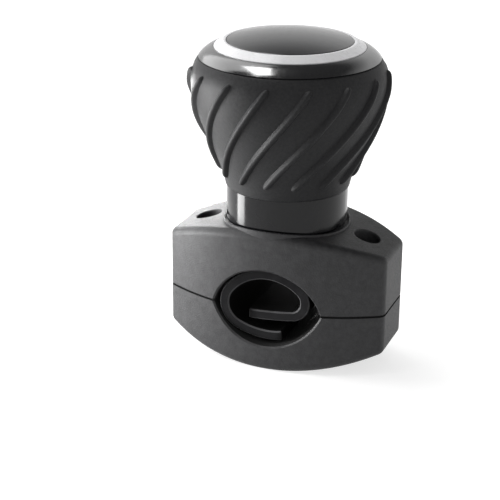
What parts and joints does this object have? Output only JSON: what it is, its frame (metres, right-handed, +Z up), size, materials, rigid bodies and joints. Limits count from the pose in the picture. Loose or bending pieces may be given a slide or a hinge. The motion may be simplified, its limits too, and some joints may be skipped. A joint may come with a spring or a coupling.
{
  "type": "steering wheel spinner knob",
  "caption": "Spinner knob with a waisted, swirl-ribbed rubber grip that turns on ball bearings, over a two-piece screw clamp with a coiled rubber strip for a wheel rim.",
  "frame": {"origin": "middle of the flat under the clamp, on the knob's axis", "axes": "+Z up along the knob's axis, X along the line of the two clamp screws, Y through the clamp's opening with the front at -Y"},
  "size_m": [0.0656, 0.0572, 0.095],
  "materials": {
    "clamp_plastic": "fine moulded texture",
    "gloss_black": "polished",
    "trim_white": "gloss",
    "grip_rubber": "satin",
    "strip_rubber": "smooth",
    "black_steel": "black oxide",
    "zinc_steel": "zinc plated",
    "bearing_steel": "ground and polished",
    "cage_plastic": "natural moulded"
  },
  "bodies": {
    "lower_clamp": {"lower_clamp_half": "clamp_plastic", "clamp_nut_left": "zinc_steel", "clamp_nut_right": "zinc_steel", "rubber_strip": "strip_rubber"},
    "upper_clamp": {"upper_clamp_half": "clamp_plastic", "stud": "zinc_steel", "stud_washer": "zinc_steel", "jam_nut": "zinc_steel", "lower_spacer": "zinc_steel", "lower_inner_ring": "bearing_steel", "spacer_sleeve": "zinc_steel", "upper_inner_ring": "bearing_steel", "upper_spacer": "zinc_steel", "lock_nut": "zinc_steel"},
    "left_screw": {"clamp_screw_left": "black_steel"},
    "right_screw": {"clamp_screw_right": "black_steel"},
    "knob": {"knob_core": "gloss_black", "grip": "grip_rubber", "bezel": "gloss_black", "bezel_screws": "black_steel", "trim_ring": "trim_white", "dome_cap": "gloss_black", "lower_outer_ring": "bearing_steel", "upper_outer_ring": "bearing_steel", "lower_circlip": "black_steel", "upper_circlip": "black_steel"},
    "lower_bearing_cage": {"lower_cage": "cage_plastic", "lower_balls": "bearing_steel"},
    "upper_bearing_cage": {"upper_cage": "cage_plastic", "upper_balls": "bearing_steel"}
  },
  "joints": [
    {"name": "clamp_open", "type": "slide", "parent": "lower_clamp", "child": "upper_clamp", "axis": [0, 0, 1], "range_m": [0, 0.006]},
    {"name": "knob_spin", "type": "hinge", "parent": "upper_clamp", "child": "knob", "pos_m": [0, 0, 0.06], "axis": [0, 0, 1], "continuous": true},
    {"name": "lower_cage_spin", "type": "hinge", "parent": "upper_clamp", "child": "lower_bearing_cage", "pos_m": [0, 0, 0.0503], "axis": [0, 0, 1], "continuous": true},
    {"name": "upper_cage_spin", "type": "hinge", "parent": "upper_clamp", "child": "upper_bearing_cage", "pos_m": [0, 0, 0.0713], "axis": [0, 0, 1], "continuous": true},
    {"name": "left_screw_turn", "type": "hinge", "parent": "upper_clamp", "child": "left_screw", "pos_m": [-0.0243, 0, 0.0305], "axis": [0, 0, 1], "range_deg": [0, 3090]},
    {"name": "right_screw_turn", "type": "hinge", "parent": "upper_clamp", "child": "right_screw", "pos_m": [0.0243, 0, 0.0305], "axis": [0, 0, 1], "range_deg": [0, 3090]}
  ],
  "couplings": [
    {"joint": "lower_cage_spin", "follows": "knob_spin", "ratio": 0.632},
    {"joint": "upper_cage_spin", "follows": "knob_spin", "ratio": 0.632},
    {"joint": "left_screw_turn", "follows": "clamp_open", "rad_per_m": 8976},
    {"joint": "right_screw_turn", "follows": "clamp_open", "rad_per_m": 8976}
  ]
}
